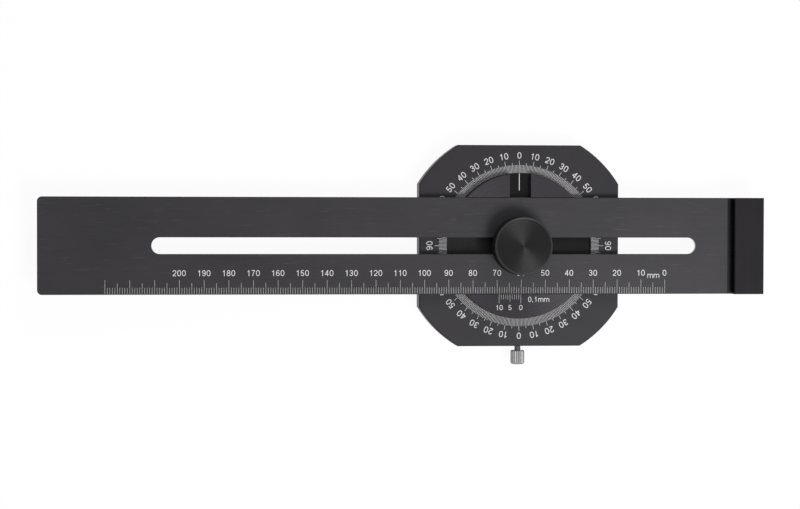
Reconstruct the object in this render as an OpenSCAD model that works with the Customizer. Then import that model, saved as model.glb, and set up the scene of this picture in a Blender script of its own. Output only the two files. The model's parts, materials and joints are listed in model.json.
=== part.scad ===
// Slotted rule in the channel of a turning disc, set in a square stop plate with clipped corners.
// The origin lies on the disc's turning axis, in the plane of the plate's underside.
// The rule runs along X with its marking end on +X, and the clamp knob faces +Z.

/* [Rule beam] */
// Length of the beam
beam_l = 297.7; // [260:0.1:400]
// Width of the beam
beam_w = 39.8; // [34:0.1:50]
// Thickness of the beam
beam_t = 3; // [2.5:0.5:6]
// Radius of the two corners at the beam's tail end
beam_corner_r = 2; // [1:0.5:5]
// Bevel along the beam's edges
beam_bevel = 0.3; // [0.1:0.1:0.5]
// Solid stretch between the beam's tail end and the slot
tail_l = 45.8; // [30:0.1:60]
// Solid stretch between the slot and the end block
bridge_l = 15; // [10:0.5:25]
// Width left on each side of the clamp stud in the slot
slot_play = 0.4; // [0.4:0.1:1]
// Bevel round the slot's rims
slot_bevel = 0.2; // [0.1:0.1:0.4]
// Distance from the stop plate's edge to the marking end, as the rule is set
reading = 59.5; // [0:0.1:180]

/* [End block] */
// Length of the end block along the beam
block_l = 12.3; // [10:0.1:20]
// Height of the end block above the beam
block_h = 5; // [5:0.5:10]
// Bevel along the end block's edges
block_bevel = 0.4; // [0.2:0.1:0.8]
// Thread diameter of the end block's screws
block_screw_d = 3; // [2.5:0.5:4]
// Head diameter of the end block's screws
block_screw_head_d = 5.6; // [5:0.1:7.6]
// Height of their countersunk heads
block_screw_head_h = 1.6; // [1.3:0.1:2.2]
// Length of the end block's screws
block_screw_l = 7; // [5.5:0.5:7.5]
// Distance between neighbouring screws
block_screw_pitch = 14; // [11:0.5:15]
// Diameter of the end block's dowels
dowel_d = 2.5; // [2:0.5:3]
// Length of the end block's dowels
dowel_l = 6; // [4.5:0.5:7]

/* [Stop plate] */
// Width of the plate's rim between the disc and each guide edge
plate_rim = 11.65; // [10.5:0.05:20]
// Thickness of the stop plate
plate_t = 10; // [9:0.5:14]
// How far the round corners reach past the guide edges
corner_reach = 7.2; // [4:0.1:12]
// Bevel along the plate's edges
plate_bevel = 0.5; // [0.2:0.1:1]

/* [Turning disc] */
// Diameter of the disc where it shows
disc_d = 59.7; // [50:0.1:80]
// Height of the rule's channel above the plate
channel_lift = 0.3; // [0.3:0.1:1]
// Depth of the guide groove in the channel's floor
groove_depth = 1.5; // [1:0.1:2]
// Width that the guide groove has on each side of the slot's width
key_shoulder = 1; // [0.5:0.1:1.5]
// Bevel along the lands' outer edge
disc_bevel = 0.3; // [0.1:0.1:0.6]
// Radial width of the disc's hidden flange
flange_lip = 3; // [2.5:0.5:5]
// Thickness of the flange
flange_t = 1.2; // [1:0.1:2]

/* [Rear bearing] */
// Radial width of the retaining ring beyond the flange
ring_margin = 5; // [4.5:0.1:7]
// Radial overlap of the retaining ring under the disc
ring_lip = 3; // [2:0.5:6]
// Thickness of the retaining ring
ring_t = 1.4; // [1.2:0.1:2]
// Depth of the retaining ring below the plate's underside
ring_sink = 0.2; // [0.1:0.1:0.5]
// Thickness of the glide rings on both sides of the flange
glide_t = 0.5; // [0.3:0.1:0.8]
// Number of screws in the retaining ring
ring_screw_n = 6; // [3:3:9]
// Thread diameter of the ring's screws
ring_screw_d = 2; // [1.6:0.2:2.5]
// Head diameter of the ring's screws
ring_screw_head_d = 3.6; // [3:0.1:4]
// Height of their countersunk heads
ring_screw_head_h = 0.8; // [0.6:0.1:1]
// Length of the ring's screws
ring_screw_l = 5; // [4:0.5:6.5]

/* [Clamp] */
// Thread diameter of the clamp stud
stud_d = 6; // [5:0.5:8]
// Diameter of the stud's head
stud_head_d = 11; // [9.5:0.5:13]
// Thickness of the stud's head
stud_head_t = 3.5; // [2.5:0.1:4]
// Depth of the stud's head in the disc's underside
stud_sink = 0.2; // [0.1:0.1:0.5]
// Diameter of the pin that keeps the stud from turning
stud_pin_d = 2; // [1.5:0.5:2.5]
// Length of the guide key
key_l = 20; // [18:0.5:30]
// Depth of the key's tongue below the beam's upper face
tongue_sink = 0.7; // [0.4:0.1:1.5]
// Thread diameter of the key's screws
key_screw_d = 2.5; // [2:0.5:2.5]
// Head diameter of the key's screws
key_screw_head_d = 4.7; // [3.8:0.1:5]
// Height of their countersunk heads
key_screw_head_h = 1.4; // [1.1:0.1:1.6]
// Thickness of the clamp washer
washer_t = 0.6; // [0.4:0.1:1]
// Radial step from the knob's rim in to the washer
washer_inset = 2; // [1:0.5:4]
// Diameter of the clamp knob over its ridges
knob_d = 24; // [20:0.5:36]
// Height of the clamp knob
knob_h = 10; // [5:0.5:12]
// Bevel along the knob's edges
knob_bevel = 0.6; // [0.3:0.1:1]
// Number of ridges round the knob
knob_ridges = 72; // [36:2:90]
// Depth of the grip's grooves on the knob
knob_groove = 0.3; // [0.1:0.05:0.5]
// Thickness of the knob's closed top
knob_crown = 1.2; // [0.8:0.1:2]
// Wall of the threaded insert in the knob
insert_wall = 1.5; // [1:0.1:2.5]

/* [Edge lock] */
// Thread diameter of the lock screw
lock_d = 3; // [2.5:0.5:3.5]
// Diameter of the lock screw's head over its ridges
lock_head_d = 5.8; // [5:0.1:8]
// Length of the lock screw's head
lock_head_l = 5.8; // [4:0.1:10]
// Neck that shows between the plate and the head
lock_neck_l = 1.9; // [1.5:0.1:4]
// Depth of the neck's undercut
lock_neck_cut = 0.25; // [0.1:0.05:0.4]
// Bevel along the head's edges
lock_bevel = 0.4; // [0.2:0.1:0.7]
// Number of ridges round the lock screw's head
lock_ridges = 24; // [16:2:36]
// Depth of the grip's grooves on the head
lock_groove = 0.25; // [0.1:0.05:0.4]
// Length of the pressure pad ahead of the lock screw
pad_l = 1.6; // [1.2:0.1:2]
// Room between the pad and the disc, with the lock open
lock_open = 0.3; // [0.25:0.05:0.5]
// Wall of the lock screw's threaded bush
bush_wall = 1; // [0.8:0.1:1.2]
// Length of the threaded bush
bush_l = 6; // [5:0.1:6.5]
// Depth of the bush below the plate's edge
bush_sink = 0.2; // [0.1:0.1:0.5]
// Metal between the flange's recess and the lock's bore
lock_wall = 0.6; // [0.5:0.1:1]

/* [Hidden] */
$fn = 96;

// Clearance of each running or sliding fit
run_gap = 0.05;
// Clearance of pieces that are fixed in their seats
seat_gap = 0.02;
// Clearance of the stud in the key and the washer
pass_gap = 0.2;
// Room around parts that turn past each other without touching
free_gap = 0.3;
// Overrun of every cut
cut = 1;
// Ends of the beam and of its slot
plate_w = disc_d + 2 * plate_rim;
beam_x1 = plate_w / 2 + reading;
beam_x0 = beam_x1 - beam_l;
slot_w = stud_d + 2 * slot_play;
slot_x1 = beam_x1 - block_l - bridge_l;
slot_x0 = beam_x0 + tail_l;
// Layers of the rear bearing, from the plate's underside up
ring_z1 = ring_sink + ring_t;
flange_z0 = ring_z1 + glide_t + run_gap;
flange_z1 = flange_z0 + flange_t;
shoulder_z = flange_z1 + run_gap + glide_t;
flange_d = disc_d + 2 * flange_lip;
ring_d = flange_d + 2 * ring_margin;
ring_bore_d = disc_d - 2 * ring_lip;
recess_d = flange_d + 2 * free_gap;
ring_screw_r = (recess_d + ring_d) / 4;
ring_screw_z0 = ring_sink + seat_gap;
// Layers above the plate
channel_z = plate_t + channel_lift;
land_z = channel_z + beam_t;
beam_z0 = channel_z + run_gap;
beam_z1 = beam_z0 + beam_t;
tongue_z1 = beam_z1 - tongue_sink;
washer_z0 = beam_z1 + run_gap;
knob_z0 = washer_z0 + washer_t + run_gap;
// Guide key, its groove in the disc and its screws
channel_w = beam_w + 2 * run_gap;
groove_w = slot_w + 2 * key_shoulder;
groove_z = channel_z - groove_depth;
tongue_w = slot_w - 2 * run_gap;
key_screw_x = (stud_d + key_l) / 4;
key_screw_z1 = tongue_z1 - seat_gap;
// Stud, its pocket in the disc's underside and its pin
stud_z0 = flange_z0 + stud_sink;
pocket_z1 = stud_z0 + stud_head_t;
insert_d = stud_d + 2 * insert_wall;
insert_l = knob_h - knob_crown;
stud_z1 = knob_z0 + insert_l - free_gap;
key_screw_l = key_screw_z1 - pocket_z1 - 2 * free_gap;
washer_d = knob_d - 2 * washer_inset;
// Axis of the edge lock, and the ends of its pieces measured out from the disc's axis
lock_bore_d = lock_d + 2 * run_gap;
lock_z = shoulder_z + lock_wall + lock_bore_d / 2;
pad_r0 = disc_d / 2 + lock_open;
screw_r0 = pad_r0 + pad_l + seat_gap;
edge_r = plate_w / 2;
bush_d = lock_d + 2 * bush_wall;
// End block's screws and dowels
block_x = beam_x1 - block_l / 2;
dowel_sink = beam_t / 10;
// Drive sockets, as a share of a screw's head
socket_width_share = 0.42;
socket_depth_share = 0.7;
// Edge of a screw's flat tip, as a share of its diameter
tip_share = 0.15;

black = [0.24, 0.24, 0.25];
dark_steel = [0.2, 0.2, 0.21];
bright_steel = [0.72, 0.72, 0.72];
brass = [0.74, 0.6, 0.32];
nylon = [0.88, 0.87, 0.82];

function bevelled(w, h, b) = [
    [b - w / 2, 0], [w / 2 - b, 0], [w / 2, b], [w / 2, h - b],
    [w / 2 - b, h], [b - w / 2, h], [-w / 2, h - b], [-w / 2, b]
];

function ridged(d, n, depth) = [
    for (i = [0 : 2 * n - 1])
        (d / 2 - (i % 2) * depth) * [cos(180 * i / n), sin(180 * i / n)]
];

// Bar along X, from x0 to x1, with bevelled long edges and ends
module bevelled_bar(x0, x1, w, h, b) {
    intersection() {
        translate([x0, 0, 0])
            rotate([90, 0, 90])
                linear_extrude(x1 - x0) polygon(bevelled(w, h, b));
        translate([(x0 + x1) / 2, w / 2 + cut, 0])
            rotate([90, 0, 0])
                linear_extrude(w + 2 * cut) polygon(bevelled(x1 - x0, h, b));
    }
}

// Upright round bar with bevelled edges
module bevelled_rod(d, h, b) {
    rotate_extrude()
        polygon([[0, 0], [d / 2 - b, 0], [d / 2, b], [d / 2, h - b], [d / 2 - b, h], [0, h]]);
}

// Upright bar with n ridges along it and bevelled ends
module ridged_rod(d, h, n, depth, b) {
    intersection() {
        linear_extrude(h) polygon(ridged(d, n, depth));
        bevelled_rod(d + 2 * depth, h, b + depth);
    }
}

module tube(d, bore, h) {
    difference() {
        cylinder(d = d, h = h);
        translate([0, 0, -cut]) cylinder(d = bore, h = h + 2 * cut);
    }
}

// Outline with round ends, from x0 to x1
module round_ended(x0, x1, w) {
    translate([x0 + w / 2, -w / 2]) square([x1 - x0 - w, w]);
    for (x = [x0 + w / 2, x1 - w / 2])
        translate([x, 0]) circle(d = w);
}

// Countersink of a round-ended slot, opening upwards from z = 0
module slot_countersink(x0, x1, w, b) {
    rise = b + cut;
    translate([x0 + w / 2, 0, 0])
        rotate([90, 0, 90])
            linear_extrude(x1 - x0 - w)
                polygon([[-w / 2, 0], [w / 2, 0], [w / 2 + rise, rise], [-w / 2 - rise, rise]]);
    for (x = [x0 + w / 2, x1 - w / 2])
        translate([x, 0, 0]) cylinder(d1 = w, d2 = w + 2 * rise, h = rise);
}

// Countersunk screw with its head's face at z = 0 and its tip at z = l
module countersunk_screw(d, l, head_d, head_h) {
    difference() {
        union() {
            cylinder(d1 = head_d, d2 = d, h = head_h);
            cylinder(d = d, h = l - tip_share * d);
            translate([0, 0, l - tip_share * d])
                cylinder(d1 = d, d2 = d * (1 - 2 * tip_share), h = tip_share * d);
        }
        translate([0, 0, -cut])
            cylinder(d = head_d * socket_width_share, h = head_h * socket_depth_share + cut, $fn = 6);
    }
}

// Hole for that screw, which opens downwards past z = 0
module countersunk_hole(d, l, head_d, head_h) {
    translate([0, 0, -cut]) cylinder(d = head_d + 2 * seat_gap, h = cut);
    cylinder(d1 = head_d + 2 * seat_gap, d2 = d + 2 * seat_gap, h = head_h + seat_gap);
    translate([0, 0, -cut]) cylinder(d = d + 2 * seat_gap, h = l + cut + seat_gap);
}

module at_block_screws() {
    for (i = [-1 : 1])
        translate([block_x, i * block_screw_pitch, beam_z0 + seat_gap]) children();
}

module at_block_dowels() {
    for (i = [-1, 1])
        translate([block_x, i * block_screw_pitch / 2, beam_z0 + dowel_sink]) children();
}

module block_screw_holes() {
    at_block_screws()
        countersunk_hole(block_screw_d, block_screw_l, block_screw_head_d, block_screw_head_h);
    at_block_dowels()
        cylinder(d = dowel_d + 2 * seat_gap, h = dowel_l + seat_gap);
}

module at_ring_screws() {
    for (i = [0 : ring_screw_n - 1])
        rotate([0, 0, 360 * i / ring_screw_n])
            translate([ring_screw_r, 0, ring_screw_z0]) children();
}

module ring_screw_holes() {
    at_ring_screws()
        countersunk_hole(ring_screw_d, ring_screw_l, ring_screw_head_d, ring_screw_head_h);
}

// Places the key's screws head up, with their heads' faces in the tongue's top
module at_key_screws() {
    for (i = [-1, 1])
        translate([i * key_screw_x, 0, key_screw_z1]) rotate([180, 0, 0]) children();
}

module key_screw_holes() {
    at_key_screws()
        countersunk_hole(key_screw_d, key_screw_l, key_screw_head_d, key_screw_head_h);
}

// Turns +Z out along -Y, and starts at the radius r from the disc's axis
module on_lock_axis(r) {
    translate([0, -r, lock_z]) rotate([90, 0, 0]) children();
}

// Hole for the stud's pin, half in the stud's head and half in the disc
module stud_pin_hole() {
    translate([stud_head_d / 2, 0, pocket_z1 - stud_head_t - cut])
        cylinder(d = stud_pin_d + 2 * seat_gap, h = stud_head_t + cut);
}

module beam_outline() {
    r = beam_corner_r;
    translate([beam_x0 + r, -beam_w / 2]) square([beam_l - r, beam_w]);
    translate([beam_x0, r - beam_w / 2]) square([2 * r, beam_w - 2 * r]);
    for (s = [-1, 1])
        translate([beam_x0 + r, s * (beam_w / 2 - r)]) circle(r = r);
}

module beam() {
    color(black)
        difference() {
            intersection() {
                translate([0, 0, beam_z0])
                    bevelled_bar(beam_x0, beam_x1, beam_w, beam_t, beam_bevel);
                translate([0, 0, beam_z0 - cut])
                    linear_extrude(beam_t + 2 * cut) beam_outline();
            }
            translate([0, 0, beam_z0 - cut])
                linear_extrude(beam_t + 2 * cut) round_ended(slot_x0, slot_x1, slot_w);
            translate([0, 0, beam_z1 - slot_bevel])
                slot_countersink(slot_x0, slot_x1, slot_w, slot_bevel);
            translate([0, 0, beam_z0 + slot_bevel])
                mirror([0, 0, 1]) slot_countersink(slot_x0, slot_x1, slot_w, slot_bevel);
            block_screw_holes();
        }
}

module end_block() {
    color(dark_steel)
        difference() {
            translate([0, 0, beam_z1])
                bevelled_bar(beam_x1 - block_l, beam_x1, beam_w, block_h, block_bevel);
            block_screw_holes();
        }
}

module block_screws() {
    color(dark_steel)
        at_block_screws()
            countersunk_screw(block_screw_d, block_screw_l, block_screw_head_d, block_screw_head_h);
}

module block_dowels() {
    color(bright_steel)
        at_block_dowels() cylinder(d = dowel_d, h = dowel_l);
}

module plate_blank() {
    half = plate_w / 2;
    intersection() {
        bevelled_bar(-half, half, plate_w, plate_t, plate_bevel);
        bevelled_rod(plate_w + 2 * corner_reach, plate_t, plate_bevel);
    }
}

module stop_plate() {
    color(black)
        difference() {
            plate_blank();
            translate([0, 0, -cut]) cylinder(d = disc_d + 2 * run_gap, h = plate_t + 2 * cut);
            translate([0, 0, -cut]) cylinder(d = recess_d, h = shoulder_z + cut);
            translate([0, 0, -cut]) cylinder(d = ring_d + 2 * seat_gap, h = ring_z1 + cut);
            ring_screw_holes();
            on_lock_axis(0) cylinder(d = lock_bore_d, h = plate_w);
            on_lock_axis(edge_r - bush_sink - bush_l)
                cylinder(d = bush_d + 2 * seat_gap, h = bush_sink + bush_l + cut);
        }
}

module rotary_disc() {
    r = disc_d / 2;
    flange_r = flange_d / 2;
    color(black)
        difference() {
            rotate_extrude()
                polygon([
                    [0, flange_z0], [flange_r, flange_z0], [flange_r, flange_z1], [r, flange_z1],
                    [r, land_z - disc_bevel], [r - disc_bevel, land_z], [0, land_z]
                ]);
            translate([-disc_d, -channel_w / 2, channel_z]) cube([2 * disc_d, channel_w, beam_t + cut]);
            translate([-disc_d, -groove_w / 2, groove_z]) cube([2 * disc_d, groove_w, beam_t + cut]);
            translate([-groove_w / 2, 0, plate_t]) cube([groove_w, disc_d, channel_lift + beam_t + cut]);
            cylinder(d = stud_d + 2 * seat_gap, h = land_z);
            cylinder(d = stud_head_d + 2 * seat_gap, h = pocket_z1);
            stud_pin_hole();
            key_screw_holes();
        }
}

// Glide rings lie on the plate's side of the flange, with the running gap towards the flange
module upper_glide_ring() {
    color(nylon)
        translate([0, 0, flange_z1 + run_gap])
            tube(flange_d - 2 * seat_gap, disc_d + 2 * free_gap, glide_t);
}

module lower_glide_ring() {
    color(nylon)
        translate([0, 0, ring_z1])
            tube(flange_d - 2 * seat_gap, disc_d - ring_lip, glide_t);
}

module retaining_ring() {
    color(dark_steel)
        difference() {
            translate([0, 0, ring_sink]) tube(ring_d, ring_bore_d, ring_t);
            ring_screw_holes();
        }
}

module ring_screws() {
    color(bright_steel)
        at_ring_screws()
            countersunk_screw(ring_screw_d, ring_screw_l, ring_screw_head_d, ring_screw_head_h);
}

module guide_key() {
    color(bright_steel)
        difference() {
            union() {
                translate([-key_l / 2, seat_gap - groove_w / 2, groove_z])
                    cube([key_l, groove_w - 2 * seat_gap, groove_depth]);
                translate([0, 0, groove_z])
                    linear_extrude(tongue_z1 - groove_z) round_ended(-key_l / 2, key_l / 2, tongue_w);
            }
            translate([0, 0, groove_z - cut])
                cylinder(d = stud_d + 2 * pass_gap, h = tongue_z1 - groove_z + 2 * cut);
            key_screw_holes();
        }
}

module key_screws() {
    color(dark_steel)
        at_key_screws()
            countersunk_screw(key_screw_d, key_screw_l, key_screw_head_d, key_screw_head_h);
}

module clamp_stud() {
    tip = tip_share * stud_d;
    color(bright_steel)
        difference() {
            translate([0, 0, stud_z0])
                rotate_extrude()
                    polygon([
                        [0, 0], [stud_head_d / 2, 0], [stud_head_d / 2, stud_head_t],
                        [stud_d / 2, stud_head_t], [stud_d / 2, stud_z1 - stud_z0 - tip],
                        [stud_d / 2 - tip, stud_z1 - stud_z0], [0, stud_z1 - stud_z0]
                    ]);
            stud_pin_hole();
        }
}

module stud_pin() {
    color(bright_steel)
        translate([stud_head_d / 2, 0, stud_z0]) cylinder(d = stud_pin_d, h = stud_head_t);
}

module clamp_washer() {
    color(bright_steel)
        translate([0, 0, washer_z0]) tube(washer_d, stud_d + 2 * pass_gap, washer_t);
}

module clamp_knob() {
    color(black)
        translate([0, 0, knob_z0])
            difference() {
                ridged_rod(knob_d, knob_h, knob_ridges, knob_groove, knob_bevel);
                translate([0, 0, -cut]) cylinder(d = insert_d + 2 * seat_gap, h = insert_l + cut);
            }
}

module knob_insert() {
    color(brass)
        translate([0, 0, knob_z0]) tube(insert_d, stud_d + 2 * run_gap, insert_l);
}

module lock_bush() {
    color(bright_steel)
        on_lock_axis(edge_r - bush_sink - bush_l) tube(bush_d, lock_bore_d, bush_l);
}

module lock_pad() {
    color(brass)
        on_lock_axis(pad_r0) cylinder(d = lock_d, h = pad_l);
}

module lock_screw() {
    thread_l = edge_r - screw_r0;
    neck_d = lock_d - 2 * lock_neck_cut;
    color(bright_steel) {
        on_lock_axis(screw_r0) cylinder(d = lock_d, h = thread_l);
        on_lock_axis(edge_r) cylinder(d = neck_d, h = lock_neck_l);
        on_lock_axis(edge_r + lock_neck_l)
            ridged_rod(lock_head_d, lock_head_l, lock_ridges, lock_groove, lock_bevel);
    }
}

beam();
end_block();
block_screws();
block_dowels();
stop_plate();
rotary_disc();
upper_glide_ring();
lower_glide_ring();
retaining_ring();
ring_screws();
guide_key();
key_screws();
clamp_stud();
stud_pin();
clamp_washer();
clamp_knob();
knob_insert();
lock_bush();
lock_pad();
lock_screw();
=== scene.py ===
import json
import math

import bmesh
import bpy
import numpy as np
from mathutils import Matrix, Vector
from mathutils.geometry import delaunay_2d_cdt


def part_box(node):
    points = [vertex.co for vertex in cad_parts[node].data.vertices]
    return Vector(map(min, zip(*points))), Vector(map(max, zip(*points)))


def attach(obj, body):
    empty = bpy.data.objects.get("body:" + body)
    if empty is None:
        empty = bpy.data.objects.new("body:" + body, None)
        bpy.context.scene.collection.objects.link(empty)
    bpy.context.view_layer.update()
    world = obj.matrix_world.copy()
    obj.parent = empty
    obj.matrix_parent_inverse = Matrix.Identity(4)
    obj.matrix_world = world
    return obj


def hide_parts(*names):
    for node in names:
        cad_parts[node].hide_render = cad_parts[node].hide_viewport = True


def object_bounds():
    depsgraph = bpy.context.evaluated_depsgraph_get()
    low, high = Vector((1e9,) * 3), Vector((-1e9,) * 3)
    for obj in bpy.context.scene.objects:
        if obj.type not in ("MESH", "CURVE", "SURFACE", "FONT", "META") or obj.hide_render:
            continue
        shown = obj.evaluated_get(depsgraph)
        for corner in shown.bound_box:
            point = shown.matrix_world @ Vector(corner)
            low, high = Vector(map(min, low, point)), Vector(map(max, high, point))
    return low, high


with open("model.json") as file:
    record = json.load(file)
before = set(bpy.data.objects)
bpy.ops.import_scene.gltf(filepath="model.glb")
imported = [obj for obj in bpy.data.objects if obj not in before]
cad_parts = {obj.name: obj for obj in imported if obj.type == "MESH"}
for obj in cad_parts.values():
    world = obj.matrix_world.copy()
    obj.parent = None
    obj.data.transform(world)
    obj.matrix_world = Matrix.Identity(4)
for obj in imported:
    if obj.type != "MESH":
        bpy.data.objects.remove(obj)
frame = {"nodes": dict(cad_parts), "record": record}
cad_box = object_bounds()

MM = 0.001

# Camera
CAMERA_PLACE = (-132.9 * MM, 16.41 * MM, 894.7 * MM)
CAMERA_TURN_DEG = (-1.303, -5.389, 0.114)
CAMERA_LENS = 97.34
CAMERA_SENSOR = 36
CAMERA_CLIP = (0.01, 10)

# Lights and stage
AMBIENT = 0.22
KEY_FROM = (0.26, -0.43, 0.865)
KEY_DISTANCE = 0.75
KEY_SIZE = (0.3, 0.26)
KEY_WATTS = 4.1
BACK_FROM = (0.12, 0.76, 0.61)
BACK_DISTANCE = 0.8
BACK_SIZE = (0.5, 0.14)
BACK_WATTS = 1.5
FLOOR_SIZE = 4
FLOOR_GAP = 0.05 * MM
FLOOR_COLOUR = (0.86, 0.86, 0.86, 1)
FLOOR_GLOW = 0.945
FLOOR_SHADOW_SHARE = 0.08

# Sockets of the colour Mix node
MIX_SHARE = 0
MIX_FIRST = 6
MIX_SECOND = 7
MIX_RESULT = 2

# Finishes
WHITE = (1, 1, 1, 1)
NOISE_CENTRE = 0.5
NOISE_REACH = 0.2
PATCH_SHARE = 0.6
GRAIN_SHARE = 0.4
QUARTER_TURN = 0.25
DISC_GLOSS_TURN = 0.15
DISC_TURNING_LINES = 2600
KNOB_TURNING_LINES = 3800
TURNING_DETAIL = 3.0
ACROSS_BRUSHING = (0, 1, 0)
# Painted shade: the disc's finish darkens below this height, in its grooves
GROOVE_FLOOR_TOP = 10.5 * MM
GROOVE_PAINTED_SHADE = 0.1
GROOVE_EDGE_BLUR = 0.2 * MM
# Painted shadow beside the end block: a dark band this wide and deep on the rule, and painted shade
# on the block's wall that faces it
BLOCK_SHADOW_W = 1.9 * MM
BLOCK_SHADOW_DEPTH = 0.3 * MM
BLOCK_PAINTED_SHADE = 0.02
BLOCK_SHADOW_BLUR = 0.15 * MM
SCRATCH_COLOUR = (0.085, 0.082, 0.088)
SCRATCH_SHARE = 0.6
SCRATCH_CENTRE = 0.73
SCRATCH_REACH = 0.05

# Grains: how many to a metre along X, Y and Z, and the noise's detail
SOFT_PATCHES = ((38, 55, 55), 2.0)
BRUSHED_COARSE = ((22, 1400, 1400), 3.0)
BRUSHED_FINE = ((120, 9000, 9000), 1.0)
BLASTED = ((4200, 4200, 4200), 3.0)
GROUND = ((5200, 160, 900), 2.0)
MACHINED = ((2600, 2600, 600), 2.0)
DRAWN = ((2600, 240, 2600), 2.0)
MOULDED = ((900, 900, 900), 4.0)
SCRATCHES = ((130, 2600, 2600), 1.0)

# Scales
MARK_PROUD = 0.02 * MM
MARK_ROOT = 0.02 * MM
RULE_ZERO_X = 60.45
RULE_LAST_MM = 230
RULE_LAST_NUMBER = 200
NUMBER_STEP = 10
RULE_EDGE_Y = -19.57
RULE_TICK_ENDS = (-17.05, -15.15, -13.95)
RULE_TICK_WIDTH = 0.1
RULE_NUMBER_SHIFT = -0.12
RULE_NUMBER_Y = -11.13
RULE_NUMBER_H = 2.42
RULE_UNIT_X = 55.52
RULE_UNIT_Y = -12.12
RULE_UNIT_H = 2.26
FULL_CIRCLE = 360
HALF_CIRCLE = 180
DEGREE_TICK_START = 30.15
DEGREE_TICK_ENDS = (33.3, 34.2, 35.1)
DEGREE_TICK_WIDTH = 0.14
DEGREE_NUMBER_R = 37.24
DEGREE_NUMBER_H = 2.58
VERNIER_ZERO_X = 0.3
VERNIER_STEP = 0.9
VERNIER_LAST = 10
VERNIER_NUMBERS = (0, 5, 10)
VERNIER_EDGE_Y = -19.97
VERNIER_TICK_ENDS = (-22.0, -23.15, -23.65)
VERNIER_NUMBER_Y = -25.4
VERNIER_NUMBER_H = 2.1
VERNIER_UNIT = "0,1mm"
VERNIER_UNIT_X = 7.67
VERNIER_UNIT_Y = -22.03
INDEX_LINE_X = 0.0
INDEX_LINE_ENDS = (22.83, 29.75)
INDEX_LINE_WIDTH = 0.28

# Figures, as shares of their height
STROKE = 0.118
COMMA_TAIL_STROKE = 0.075
FIGURE_STEPS = {",": 0.39, "m": 1.16}
FIGURE_STEP = 0.78
FIGURE_MIDDLE = 0.33
FIGURE_INSET = 0.06
ARC_STEPS = 14
BEND_STEPS = 8
OVAL_STEPS = 36

# How overlapping strokes are joined: faces inside the outlines, and their tolerance in millimetres
JOIN_INSIDE = 3
JOIN_TOLERANCE = 0.0001

# Knurled knob
KNOB_DIAMONDS = 72
KNOB_SAMPLES = 8
KNOB_GROOVE = 0.3 * MM
KNOB_BEVEL = 0.2 * MM
KNOB_RIM_WIDTH = 0.75 * MM
KNOB_RIM_DROP = 0.36 * MM
KNOB_BORE_GAP = 0.02 * MM
KNOB_TURNING_PITCH = 0.8 * MM
KNOB_TURNING_DEPTH = 0.008 * MM

# Knurled lock screw
LOCK_RIDGES = 18
LOCK_SAMPLES = 8
LOCK_GROOVE = 0.25 * MM
LOCK_RIDGE_POWER = 1.5
LOCK_HEAD_BEVEL = 0.4 * MM
LOCK_THREAD_R = 1.5 * MM
LOCK_THREAD_PITCH = 0.5 * MM
LOCK_THREAD_DEPTH = 0.2 * MM
LOCK_NECK_R = 1.25 * MM
LOCK_NECK_L = 1.9 * MM
LOCK_HEAD_L = 5.8 * MM

# The end of the lock screw's head, as shares of its bevel
LOCK_END_INSET = 2
LOCK_END_DROP = 1.4
LOCK_END_START = 0.2
LOCK_END_LENGTH = 1.2

# The lock screw's thread, as shares of its pitch
LOCK_THREAD_FOOT = 0.1
LOCK_THREAD_CREST = 0.55


def link(thing):
    bpy.context.scene.collection.objects.link(thing)
    return thing


def aim(thing, direction, distance):
    """Puts a lamp that far out in a direction, facing the origin."""
    out = Vector(direction).normalized()
    thing.location = out * distance
    thing.rotation_euler = out.to_track_quat("Z", "Y").to_euler()


# Nodes
def add_node(tree, kind, inputs=None, **settings):
    """A node with these settings. Each input is a value, or a socket to link."""
    node = tree.nodes.new(kind)
    for name, value in settings.items():
        setattr(node, name, value)
    for name, value in (inputs or {}).items():
        if isinstance(value, bpy.types.NodeSocket):
            tree.links.new(value, node.inputs[name])
        else:
            node.inputs[name].default_value = value
    return node


def math_node(tree, operation, *values):
    inputs = dict(enumerate(values))
    return add_node(tree, "ShaderNodeMath", inputs, operation=operation).outputs[0]


def vector_node(tree, operation, *values):
    inputs = dict(enumerate(values))
    return add_node(tree, "ShaderNodeVectorMath", inputs, operation=operation).outputs


def own_point(tree):
    """The piece's own coordinates, which are the row frame's at rest."""
    return add_node(tree, "ShaderNodeTexCoord").outputs["Object"]


def noise(tree, stretch, detail):
    """Noise whose grains have the sizes 1 / stretch along the three axes."""
    scaled = vector_node(tree, "MULTIPLY", own_point(tree), stretch)["Vector"]
    inputs = {"Vector": scaled, "Scale": 1.0, "Detail": detail}
    return add_node(tree, "ShaderNodeTexNoise", inputs).outputs["Fac"]


def spread(tree, value, low, high, centre=NOISE_CENTRE, reach=NOISE_REACH):
    """Maps a value around its centre to a range."""
    inputs = {
        "Value": value,
        "From Min": centre - reach,
        "From Max": centre + reach,
        "To Min": low,
        "To Max": high,
    }
    return add_node(tree, "ShaderNodeMapRange", inputs).outputs["Result"]


def mix_colours(tree, share, first, second, blend_type="MIX"):
    """Mixes two colours, each a socket or three numbers."""
    inputs = {MIX_SHARE: share}
    for place, colour in ((MIX_FIRST, first), (MIX_SECOND, second)):
        is_socket = isinstance(colour, bpy.types.NodeSocket)
        inputs[place] = colour if is_socket else (*colour, 1)
    node = add_node(tree, "ShaderNodeMix", inputs, data_type="RGBA", blend_type=blend_type)
    return node.outputs[MIX_RESULT]


def noise_grain(grain):
    """A grain of plain noise."""
    return lambda tree: noise(tree, *grain)


def turned_grain(lines_per_metre):
    """A grain of lines of turning round the Z axis."""

    def lines(tree):
        flat = vector_node(tree, "MULTIPLY", own_point(tree), (1, 1, 0))["Vector"]
        radius = vector_node(tree, "LENGTH", flat)["Value"]
        scaled = math_node(tree, "MULTIPLY", radius, lines_per_metre)
        inputs = {"W": scaled, "Scale": 1.0, "Detail": TURNING_DETAIL}
        return add_node(tree, "ShaderNodeTexNoise", inputs, noise_dimensions="1D").outputs["Fac"]

    return lines


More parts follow.
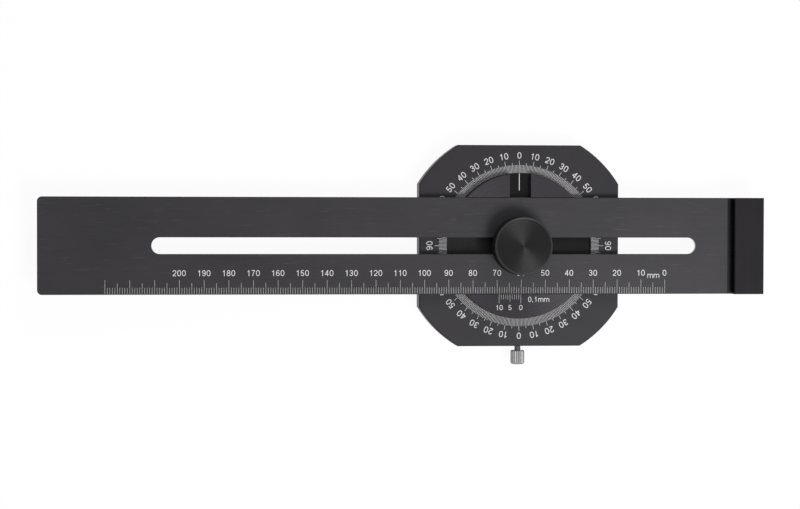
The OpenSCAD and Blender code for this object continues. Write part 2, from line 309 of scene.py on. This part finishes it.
def brushed_grain(tree):
    """Long lines of brushing along X, the mean of coarse and fine ones."""
    both = math_node(tree, "ADD", noise(tree, *BRUSHED_COARSE), noise(tree, *BRUSHED_FINE))
    return math_node(tree, "MULTIPLY", both, 0.5)


def step_share(tree, axis, start, end):
    """0 before start and 1 after end along an axis, in the piece's own coordinates."""
    place = add_node(tree, "ShaderNodeSeparateXYZ", {"Vector": own_point(tree)}).outputs[axis]
    return spread(tree, place, 0.0, 1.0, (start + end) / 2, (end - start) / 2)


def shader_of(material):
    return material.node_tree.nodes["Principled BSDF"]


def tint(material, share, colour, blend_type="MIX"):
    """Mixes a colour into a finish, by a share from 0 to 1."""
    tree = material.node_tree
    socket = shader_of(material).inputs["Base Color"]
    plain = socket.links[0].from_socket
    tree.links.new(mix_colours(tree, share, plain, colour, blend_type), socket)


def darken_past(material, shade, *steps):
    """Darkens a finish to a shade of itself past every step, each an axis, a start and an end."""
    tree = material.node_tree
    share = step_share(tree, *steps[0])
    for step in steps[1:]:
        share = math_node(tree, "MULTIPLY", share, step_share(tree, *step))
    tint(material, share, (shade, shade, shade), "MULTIPLY")


def add_scratches(material):
    """Sparse, short scratches along X, a little lighter than the finish."""
    tree = material.node_tree
    streaks = noise(tree, *SCRATCHES)
    sparse = spread(tree, streaks, 0.0, SCRATCH_SHARE, SCRATCH_CENTRE, SCRATCH_REACH)
    tint(material, sparse, SCRATCH_COLOUR)


def finish(name, colours, roughness, grain, grain_height, fixed):
    """A material whose colour drifts in soft patches and whose grain drives roughness and bump."""
    material = bpy.data.materials.new(name)
    material.use_nodes = True
    tree = material.node_tree
    shader = shader_of(material)
    patches = spread(tree, noise(tree, *SOFT_PATCHES), 0.0, PATCH_SHARE)
    lines = grain(tree)
    share = math_node(tree, "ADD", patches, spread(tree, lines, 0.0, GRAIN_SHARE))
    tree.links.new(mix_colours(tree, share, *colours), shader.inputs["Base Color"])
    tree.links.new(spread(tree, lines, *roughness), shader.inputs["Roughness"])
    bump_inputs = {"Height": lines, "Distance": grain_height, "Strength": 1.0}
    bump = add_node(tree, "ShaderNodeBump", bump_inputs)
    tree.links.new(bump.outputs["Normal"], shader.inputs["Normal"])
    for socket, value in fixed.items():
        shader.inputs[socket].default_value = value
    return material


def brushing_tangent(material):
    """Stretches the gloss as brushing along the piece's own X axis does."""
    tree = material.node_tree
    across = add_node(
        tree,
        "ShaderNodeVectorTransform",
        {"Vector": ACROSS_BRUSHING},
        vector_type="VECTOR",
        convert_from="OBJECT",
        convert_to="WORLD",
    )
    tree.links.new(across.outputs[0], shader_of(material).inputs["Tangent"])


def turning_tangent(material):
    """Stretches the gloss as turning round the piece's own Z axis does."""
    tree = material.node_tree
    around = add_node(tree, "ShaderNodeTangent", direction_type="RADIAL", axis="Z")
    tree.links.new(around.outputs[0], shader_of(material).inputs["Tangent"])


# Each finish: its two colours, range of roughness, grain, grain height and fixed shader values
FINISHES = {
    "anodised_rule": (
        ((0.034, 0.032, 0.037), (0.046, 0.043, 0.048)),
        (0.3, 0.4),
        brushed_grain,
        0.004 * MM,
        {"Anisotropic": 0.5, "Specular IOR Level": 0.15},
    ),
    "anodised_plate": (
        ((0.0262, 0.0243, 0.029), (0.0348, 0.0325, 0.037)),
        (0.36, 0.46),
        noise_grain(BLASTED),
        0.006 * MM,
        {"Specular IOR Level": 0.15},
    ),
    "anodised_disc": (
        ((0.032, 0.0294, 0.0344), (0.048, 0.0441, 0.051)),
        (0.24, 0.34),
        turned_grain(DISC_TURNING_LINES),
        0.003 * MM,
        {
            "Anisotropic": 0.85,
            "Anisotropic Rotation": DISC_GLOSS_TURN,
            "Specular IOR Level": 0.15,
        },
    ),
    "anodised_knob": (
        ((0.0042, 0.004, 0.0039), (0.0068, 0.0065, 0.0063)),
        (0.26, 0.34),
        turned_grain(KNOB_TURNING_LINES),
        0.004 * MM,
        {
            "Anisotropic": 0.8,
            "Anisotropic Rotation": QUARTER_TURN,
            "Specular IOR Level": 0.2,
        },
    ),
    "blackened_steel": (
        ((0.014, 0.0128, 0.015), (0.0195, 0.0176, 0.0204)),
        (0.3, 0.4),
        noise_grain(GROUND),
        0.003 * MM,
        {"Specular IOR Level": 0.09},
    ),
    "screw_steel": (
        ((0.03, 0.03, 0.032), (0.06, 0.06, 0.06)),
        (0.3, 0.42),
        noise_grain(MACHINED),
        0.003 * MM,
        {"Metallic": 0.7},
    ),
    "bright_steel": (
        ((0.21, 0.21, 0.215), (0.28, 0.28, 0.28)),
        (0.36, 0.44),
        noise_grain(DRAWN),
        0.002 * MM,
        {"Metallic": 1.0},
    ),
    "dark_thread": (
        ((0.05, 0.05, 0.052), (0.09, 0.09, 0.09)),
        (0.2, 0.3),
        noise_grain(MACHINED),
        0.002 * MM,
        {"Metallic": 0.9},
    ),
    # The knob's rim, lighter than the knob itself: a painted highlight
    "knob_rim_highlight": (
        ((0.012, 0.012, 0.0115), (0.02, 0.0195, 0.019)),
        (0.34, 0.42),
        noise_grain(MACHINED),
        0.003 * MM,
        {"Specular IOR Level": 0.35},
    ),
    "brass": (
        ((0.55, 0.38, 0.13), (0.7, 0.52, 0.22)),
        (0.24, 0.36),
        noise_grain(MACHINED),
        0.004 * MM,
        {"Metallic": 1.0},
    ),
    "nylon": (
        ((0.66, 0.65, 0.59), (0.78, 0.77, 0.71)),
        (0.42, 0.55),
        noise_grain(MOULDED),
        0.01 * MM,
        {"Subsurface Weight": 0.1, "Subsurface Scale": 1.0 * MM},
    ),
    "engraving": (
        ((0.68, 0.68, 0.67), (0.82, 0.82, 0.81)),
        (0.55, 0.7),
        noise_grain(MOULDED),
        0.004 * MM,
        {"Specular IOR Level": 0.3},
    ),
}


def make_materials():
    made = {name: finish(name, *values) for name, values in FINISHES.items()}
    brushing_tangent(made["anodised_rule"])
    add_scratches(made["anodised_rule"])
    turning_tangent(made["anodised_knob"])
    turning_tangent(made["anodised_disc"])
    # Painted shade: the disc is darker below the groove floor's top, in its grooves
    painted_groove_shade = ("Z", GROOVE_FLOOR_TOP + GROOVE_EDGE_BLUR, GROOVE_FLOOR_TOP)
    darken_past(made["anodised_disc"], GROOVE_PAINTED_SHADE, painted_groove_shade)
    # Painted shadow: a dark band on the rule's top just before the end block, and painted shade on
    # the blackened steel's wall at the block's start
    block_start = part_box("end_block")[0].x
    shadow_edge = block_start - BLOCK_SHADOW_W
    across_painted_shadow = ("X", shadow_edge - BLOCK_SHADOW_BLUR, shadow_edge + BLOCK_SHADOW_BLUR)
    rule_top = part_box("beam")[1].z
    near_top = ("Z", rule_top - BLOCK_SHADOW_DEPTH, rule_top - BLOCK_SHADOW_BLUR)
    darken_past(made["anodised_rule"], BLOCK_PAINTED_SHADE, across_painted_shadow, near_top)
    on_wall = ("X", block_start + BLOCK_SHADOW_BLUR, block_start)
    darken_past(made["blackened_steel"], BLOCK_PAINTED_SHADE, on_wall)
    return made


def dress_cad_nodes(materials):
    """Gives every CAD node the finish of its own material slot."""
    for part in frame["record"]["subparts"]:
        node = frame["nodes"][part["node"]]
        for material_slot in node.material_slots:
            material_slot.material = materials[part["material_slot"]]


# Meshes
def new_piece(name, mesh, material, body):
    mesh.materials.append(material)
    piece = link(bpy.data.objects.new(name, mesh))
    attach(piece, body)
    return piece


def arc(centre, radii, start, end):
    """Points of an ellipse from one angle to another, in degrees."""
    turns = np.radians(np.linspace(start, end, ARC_STEPS + 1))
    return [(centre[0] + radii[0] * math.cos(t), centre[1] + radii[1] * math.sin(t)) for t in turns]


def bend(start, pull, end):
    """Points of a smooth bend from start to end that pull draws aside."""
    points = []
    for share in np.linspace(0, 1, BEND_STEPS + 1):
        weights = ((1 - share) ** 2, 2 * share * (1 - share), share**2)
        x = sum(w * point[0] for w, point in zip(weights, (start, pull, end)))
        y = sum(w * point[1] for w, point in zip(weights, (start, pull, end)))
        points.append((x, y))
    return points


def oval(centre, radii, squareness):
    """A closed oval, squarer than an ellipse where squareness is above 2."""
    points = []
    for turn in np.radians(np.linspace(0, FULL_CIRCLE, OVAL_STEPS + 1)):
        cos, sin = math.cos(turn), math.sin(turn)
        x = math.copysign(abs(cos) ** (2 / squareness), cos)
        y = math.copysign(abs(sin) ** (2 / squareness), sin)
        points.append((centre[0] + radii[0] * x, centre[1] + radii[1] * y))
    return points


def turned_over(paths):
    return [([(2 * FIGURE_MIDDLE - x, 1 - y) for x, y in path], width) for path, width in paths]


def figure_paths():
    """Centre lines and stroke widths of each figure, on a baseline at 0 and 1 high."""
    foot = STROKE / 2
    head = 1 - STROKE / 2
    six_back = [(0.085, 0.33)] + arc((0.345, 0.55), (0.26, head - 0.55), 180, 90)
    six_back += arc((0.345, 0.7275), (0.225, head - 0.7275), 90, 15)[1:]
    two_neck = arc((0.325, 0.685), (0.25, head - 0.685), 175, -25)
    two_neck += bend(two_neck[-1], (0.49, 0.44), (0.33, 0.33))[1:]
    two_neck += bend((0.33, 0.33), (0.12, 0.2), (0.085, foot))[1:]
    upper_three = arc((0.315, 0.715), (0.22, head - 0.715), 165, -85)
    lower_three = arc((0.315, 0.3), (0.25, 0.3 - foot), 85, -165)
    first_arch = arc((0.34, 0.5), (0.23, 0.17), 180, 0)
    second_arch = [(x + 0.46, y) for x, y in first_arch]
    paths = {
        "0": [oval((FIGURE_MIDDLE, 0.5), (0.262, head - 0.5), 2.3)],
        "1": [[(0.4, 0), (0.4, 0.99)], bend((0.15, 0.74), (0.36, 0.76), (0.385, 0.95))],
        "2": [two_neck, [(0.06, foot), (0.6, foot)]],
        "3": [upper_three, lower_three, [(0.22, 0.52), (0.33, 0.52)]],
        "4": [
            [(0.46, 0.965), (0.07, 0.3)],
            [(0.03, 0.285), (0.63, 0.285)],
            [(0.455, 0), (0.455, 0.99)],
        ],
        "5": [
            [(0.14, head), (0.57, head)],
            [(0.17, 0.94), (0.115, 0.47)],
            arc((0.32, 0.315), (0.255, 0.315 - foot), 145, -160),
        ],
        "6": [oval((0.335, 0.3125), (0.25, 0.25), 2), six_back],
        "7": [[(0.05, head), (0.62, head)], bend((0.57, 0.94), (0.3, 0.55), (0.235, 0))],
        "8": [
            oval((FIGURE_MIDDLE, 0.7375), (0.205, head - 0.7375), 2),
            oval((FIGURE_MIDDLE, 0.29), (0.25, 0.29 - foot), 2),
        ],
        ",": [[(0.13, 0), (0.13, STROKE)]],
        "m": [
            [(0.11, 0), (0.11, 0.72)],
            first_arch + [(0.57, 0)],
            second_arch + [(1.03, 0)],
        ],
    }
    made = {name: [(path, STROKE) for path in strokes] for name, strokes in paths.items()}
    made[","].append(([(0.165, 0.03), (0.1, -0.15)], COMMA_TAIL_STROKE))
    made["9"] = turned_over(made["6"])
    return made


FIGURE_PATHS = figure_paths()


def stroke_quads(path, width):
    """Quads along a path, which is closed where its ends meet."""
    points = np.array(path, float)
    closed = np.allclose(points[0], points[-1])
    along = np.diff(points, axis=0)
    along /= np.linalg.norm(along, axis=1)[:, None]
    before = np.vstack([along[-1:] if closed else along[:1], along])
    after = np.vstack([along, along[:1] if closed else along[-1:]])
    middle = before + after
    middle /= np.linalg.norm(middle, axis=1)[:, None]
    reach = width / 2 / (middle * after).sum(1)
    side = np.column_stack([-middle[:, 1], middle[:, 0]]) * reach[:, None]
    left, right = points + side, points - side
    return [(right[i], right[i + 1], left[i + 1], left[i]) for i in range(len(points) - 1)]


def joined_faces(faces):
    """Points and faces of the plane figure that these faces, which may overlap, make together."""
    points = [Vector(point) for face in faces for point in face]
    numbered = []
    start = 0
    for face in faces:
        numbered.append(list(range(start, start + len(face))))
        start += len(face)
    corners, _, pieces, _, _, origins = delaunay_2d_cdt(
        points, [], numbered, JOIN_INSIDE, JOIN_TOLERANCE
    )
    return corners, [piece for piece, sources in zip(pieces, origins) if sources]


class Marks:
    """Bars and figures on one plane, in millimetres, that become one thin closed mesh."""

    def __init__(self):
        self.faces = []

    def add(self, points, place, turn):
        """Adds a flat face, turned clockwise by turn radians and moved to place."""
        cos, sin = math.cos(turn), math.sin(turn)
        self.faces.append(
            [(place[0] + x * cos + y * sin, place[1] - x * sin + y * cos) for x, y in points]
        )

    def bar(self, x, low, high, width, turn=0.0):
        """A bar from low to high along Y at x, turned clockwise about the origin."""
        half = width / 2
        corners = [(x - half, low), (x + half, low), (x + half, high), (x - half, high)]
        self.add(corners, (0, 0), turn)

    def figures(self, text, height, place, turn=0.0):
        """A line of figures of that height, with its middle at place."""
        steps = [FIGURE_STEPS.get(figure, FIGURE_STEP) for figure in text]
        start = FIGURE_INSET - sum(steps) / 2
        for figure, step in zip(text, steps):
            for path, width in FIGURE_PATHS[figure]:
                for quad in stroke_quads(path, width):
                    corners = [((x + start) * height, (y - 0.5) * height) for x, y in quad]
                    self.add(corners, place, turn)
            start += step

    def piece(self, name, plane, material, body):
        """The marks as a closed mesh that stands proud of a plane at that height in metres."""
        points, faces = joined_faces(self.faces)
        work = bmesh.new()
        root = plane - MARK_ROOT
        vertices = [work.verts.new((x * MM, y * MM, root)) for x, y in points]
        for face in faces:
            work.faces.new([vertices[i] for i in face])
        loose = [vertex for vertex in work.verts if not vertex.link_faces]
        bmesh.ops.delete(work, geom=loose, context="VERTS")
        made = bmesh.ops.extrude_face_region(work, geom=list(work.faces), use_keep_orig=True)
        raised = [part for part in made["geom"] if isinstance(part, bmesh.types.BMVert)]
        bmesh.ops.translate(work, verts=raised, vec=(0, 0, MARK_ROOT + MARK_PROUD))
        bmesh.ops.recalc_face_normals(work, faces=work.faces)
        mesh = bpy.data.meshes.new(name)
        work.to_mesh(mesh)
        work.free()
        return new_piece(name, mesh, material, body)


def tick_rank(count):
    """0 for a plain step, 1 for each fifth and 2 for each tenth."""
    if count % 10 == 0:
        return 2
    return 1 if count % 5 == 0 else 0


def rule_scale(material):
    marks = Marks()
    for count in range(RULE_LAST_MM + 1):
        x = RULE_ZERO_X - count
        marks.bar(x, RULE_EDGE_Y, RULE_TICK_ENDS[tick_rank(count)], RULE_TICK_WIDTH)
    for count in range(0, RULE_LAST_NUMBER + 1, NUMBER_STEP):
        x = RULE_ZERO_X + RULE_NUMBER_SHIFT - count
        marks.figures(str(count), RULE_NUMBER_H, (x, RULE_NUMBER_Y))
    marks.figures("mm", RULE_UNIT_H, (RULE_UNIT_X, RULE_UNIT_Y))
    marks.piece("rule_scale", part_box("beam")[1].z, material, "beam")


def degree_scale(material):
    marks = Marks()
    for degree in range(FULL_CIRCLE):
        end = DEGREE_TICK_ENDS[tick_rank(degree)]
        marks.bar(0, DEGREE_TICK_START, end, DEGREE_TICK_WIDTH, math.radians(degree))
    for degree in range(0, FULL_CIRCLE, NUMBER_STEP):
        past_half = degree % HALF_CIRCLE
        number = min(past_half, HALF_CIRCLE - past_half)
        turn = math.radians(degree)
        place = (DEGREE_NUMBER_R * math.sin(turn), DEGREE_NUMBER_R * math.cos(turn))
        marks.figures(str(number), DEGREE_NUMBER_H, place, turn)
    marks.piece("degree_scale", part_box("stop_plate")[1].z, material, "stop_plate")


def vernier_scale(material):
    marks = Marks()
    for count in range(VERNIER_LAST + 1):
        x = VERNIER_ZERO_X - VERNIER_STEP * count
        end = VERNIER_TICK_ENDS[tick_rank(count)]
        marks.bar(x, end, VERNIER_EDGE_Y, RULE_TICK_WIDTH)
    for count in VERNIER_NUMBERS:
        x = VERNIER_ZERO_X - VERNIER_STEP * count
        marks.figures(str(count), VERNIER_NUMBER_H, (x, VERNIER_NUMBER_Y))
    marks.figures(VERNIER_UNIT, VERNIER_NUMBER_H, (VERNIER_UNIT_X, VERNIER_UNIT_Y))
    marks.piece("vernier_scale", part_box("rotary_disc")[1].z, material, "rotor")


def index_line(material):
    marks = Marks()
    marks.bar(INDEX_LINE_X, *INDEX_LINE_ENDS, INDEX_LINE_WIDTH)
    marks.piece("index_line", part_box("stop_plate")[1].z, material, "rotor")


def second_finish(piece, material, chosen):
    """Gives a second material to the faces whose middle chosen picks."""
    piece.data.materials.append(material)
    for face in piece.data.polygons:
        if chosen(face.center):
            face.material_index = 1


def lathe(name, rows, segments):
    """A closed mesh round the Z axis. Each row is its radii, one or one per segment, and its height.
    The first and the last row are points on the axis."""
    turns = np.arange(segments) * 2 * math.pi / segments
    points = [(0, 0, rows[0][1])]
    for radii, height in rows[1:-1]:
        radii = np.broadcast_to(radii, segments)
        points += list(zip(radii * np.cos(turns), radii * np.sin(turns), [height] * segments))
    points.append((0, 0, rows[-1][1]))
    last = len(points) - 1
    faces = []
    bands = len(rows) - 3
    for i in range(segments):
        following = (i + 1) % segments
        faces.append((0, 1 + i, 1 + following))
        for row in range(bands):
            low = 1 + row * segments
            high = low + segments
            faces.append((low + i, high + i, high + following, low + following))
        top = 1 + bands * segments
        faces.append((last, top + following, top + i))
    mesh = bpy.data.meshes.new(name)
    mesh.from_pydata(points, [], faces)
    work = bmesh.new()
    work.from_mesh(mesh)
    bmesh.ops.recalc_face_normals(work, faces=work.faces)
    work.to_mesh(mesh)
    work.free()
    return mesh


def zigzag(values):
    """1 at whole numbers and 0 half way between them."""
    return np.abs(values - np.floor(values) - 0.5) * 2


def knurled_knob(material, highlight_material):
    """The knob with a diamond knurl and a turned face, whose rim has a lighter finish of its own as
    a painted highlight.
    """
    low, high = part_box("clamp_knob")
    insert_low, insert_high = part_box("knob_insert")
    radius = (high.x - low.x) / 2
    bore = (insert_high.x - insert_low.x) / 2 + KNOB_BORE_GAP
    rim_low = high.z - KNOB_RIM_DROP
    segments = KNOB_DIAMONDS * KNOB_SAMPLES
    across = np.arange(segments) / KNOB_SAMPLES
    pitch = 2 * math.pi * radius / KNOB_DIAMONDS
    step = pitch / KNOB_SAMPLES
    rows = [(0, insert_high.z), (bore, insert_high.z), (bore, low.z)]
    side_height = rim_low - low.z
    count = round(side_height / step)
    for i in range(count + 1):
        height = low.z + side_height * i / count
        along = (height - low.z) / pitch
        groove = np.maximum(zigzag(across + along), zigzag(across - along))
        cone = radius - KNOB_BEVEL + min(height - low.z, rim_low - height)
        rows.append((np.minimum(radius - KNOB_GROOVE * groove, cone), height))
    face_radius = radius - KNOB_BEVEL - KNOB_RIM_WIDTH
    rows.append((face_radius, high.z))
    rings = int(face_radius / KNOB_TURNING_PITCH)
    for i in range(rings - 1, 0, -1):
        ring = i * KNOB_TURNING_PITCH
        rows.append((ring + KNOB_TURNING_PITCH / 2, high.z))
        rows.append((ring, high.z - KNOB_TURNING_DEPTH))
    rows.append((0, high.z - KNOB_TURNING_DEPTH))
    mesh = lathe("knurled_knob", rows, segments)
    piece = new_piece("knurled_knob", mesh, material, "clamp_knob")

    # The rim's faces get the lighter finish, a painted highlight
    def on_rim(point):
        return face_radius < point.xy.length and point.z > rim_low

    second_finish(piece, highlight_material, on_rim)
    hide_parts("clamp_knob")


def knurled_lock_screw(material, neck_material):
    """The lock screw with a ridged head, a plain neck and a thread, turned to point along +Y."""
    low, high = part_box("lock_screw")
    head_end = low.y
    tip = high.y
    radius = (high.x - low.x) / 2
    axis_z = (low.z + high.z) / 2
    segments = LOCK_RIDGES * LOCK_SAMPLES
    across = np.arange(segments) / LOCK_SAMPLES
    head_start = head_end + LOCK_HEAD_L
    neck_start = head_start + LOCK_NECK_L
    ridge_radii = radius - LOCK_GROOVE * (1 - zigzag(across)) ** LOCK_RIDGE_POWER
    rows = [(0, head_end), (radius - LOCK_END_INSET * LOCK_HEAD_BEVEL, head_end)]
    for share in (0, 0.5, 1):
        cone = radius - LOCK_HEAD_BEVEL * LOCK_END_DROP * (1 - share)
        height = head_end + LOCK_HEAD_BEVEL * (LOCK_END_START + LOCK_END_LENGTH * share)
        rows.append((np.minimum(ridge_radii, cone), height))
    for share in (1, 0.5, 0):
        cone = radius - LOCK_HEAD_BEVEL * (1 - share)
        rows.append((np.minimum(ridge_radii, cone), head_start - LOCK_HEAD_BEVEL * share))
    rows.append((LOCK_NECK_R, head_start))
    rows.append((LOCK_NECK_R, neck_start))
    thread_root = LOCK_THREAD_R - LOCK_THREAD_DEPTH
    turns = int((tip - neck_start) / LOCK_THREAD_PITCH) - 1
    for i in range(turns):
        start = neck_start + i * LOCK_THREAD_PITCH
        rows.append((thread_root, start + LOCK_THREAD_PITCH * LOCK_THREAD_FOOT))
        rows.append((LOCK_THREAD_R, start + LOCK_THREAD_PITCH * LOCK_THREAD_CREST))
    rows.append((thread_root, tip))
    rows.append((0, tip))
    mesh = lathe("knurled_lock_screw", rows, segments)
    mesh.transform(Matrix.Translation((0, 0, axis_z)) @ Matrix.Rotation(-math.pi / 2, 4, "X"))
    piece = new_piece("knurled_lock_screw", mesh, material, "lock_screw")
    second_finish(piece, neck_material, lambda point: point.y > head_start)
    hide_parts("lock_screw")


# Stage
def add_camera():
    data = bpy.data.cameras.new("camera")
    data.lens = CAMERA_LENS
    data.sensor_width = CAMERA_SENSOR
    data.clip_start, data.clip_end = CAMERA_CLIP
    camera = link(bpy.data.objects.new("camera", data))
    camera.location = CAMERA_PLACE
    camera.rotation_euler = [math.radians(turn) for turn in CAMERA_TURN_DEG]
    bpy.context.scene.camera = camera


def add_area(name, direction, distance, size, watts):
    data = bpy.data.lights.new(name, "AREA")
    data.shape = "RECTANGLE"
    data.size, data.size_y = size
    data.energy = watts
    aim(link(bpy.data.objects.new(name, data)), direction, distance)


def seen_directly(tree):
    """1 for rays from the camera, a mirror or glass, which show the white background."""
    path = add_node(tree, "ShaderNodeLightPath").outputs
    either = math_node(tree, "MAXIMUM", path["Is Camera Ray"], path["Is Glossy Ray"])
    return math_node(tree, "MAXIMUM", either, path["Is Transmission Ray"])


def add_world():
    world = bpy.data.worlds.new("studio")
    world.use_nodes = True
    bpy.context.scene.world = world
    tree = world.node_tree
    light = tree.nodes["Background"]
    light.inputs["Color"].default_value = WHITE
    light.inputs["Strength"].default_value = AMBIENT
    white = add_node(tree, "ShaderNodeBackground", {"Color": WHITE, "Strength": 1.0})
    either = add_node(
        tree,
        "ShaderNodeMixShader",
        {0: seen_directly(tree), 1: light.outputs[0], 2: white.outputs[0]},
    )
    tree.links.new(either.outputs[0], tree.nodes["World Output"].inputs["Surface"])


def add_floor():
    material = bpy.data.materials.new("studio_floor")
    material.use_nodes = True
    tree = material.node_tree
    tree.nodes.remove(tree.nodes["Principled BSDF"])
    plain = add_node(tree, "ShaderNodeBsdfDiffuse", {"Color": FLOOR_COLOUR})
    faint = add_node(tree, "ShaderNodeMixShader", {0: FLOOR_SHADOW_SHARE, 2: plain.outputs[0]})
    glow = add_node(tree, "ShaderNodeEmission", {"Color": WHITE, "Strength": FLOOR_GLOW})
    shown = add_node(tree, "ShaderNodeAddShader", {0: faint.outputs[0], 1: glow.outputs[0]})
    either = add_node(
        tree,
        "ShaderNodeMixShader",
        {0: seen_directly(tree), 1: plain.outputs[0], 2: shown.outputs[0]},
    )
    tree.links.new(either.outputs[0], tree.nodes["Material Output"].inputs["Surface"])
    half = FLOOR_SIZE / 2
    height = cad_box[0].z - FLOOR_GAP
    mesh = bpy.data.meshes.new("floor")
    corners = [(x * half, y * half, height) for x, y in ((-1, -1), (1, -1), (1, 1), (-1, 1))]
    mesh.from_pydata(corners, [], [(0, 1, 2, 3)])
    mesh.materials.append(material)
    link(bpy.data.objects.new("floor", mesh))


def build():
    bpy.context.scene.view_settings.view_transform = "Standard"
    add_camera()
    add_world()
    add_floor()
    add_area("key", KEY_FROM, KEY_DISTANCE, KEY_SIZE, KEY_WATTS)
    add_area("back", BACK_FROM, BACK_DISTANCE, BACK_SIZE, BACK_WATTS)
    materials = make_materials()
    dress_cad_nodes(materials)
    rule_scale(materials["engraving"])
    degree_scale(materials["engraving"])
    vernier_scale(materials["engraving"])
    index_line(materials["engraving"])
    knurled_knob(materials["anodised_knob"], materials["knob_rim_highlight"])
    knurled_lock_screw(materials["bright_steel"], materials["dark_thread"])


build()
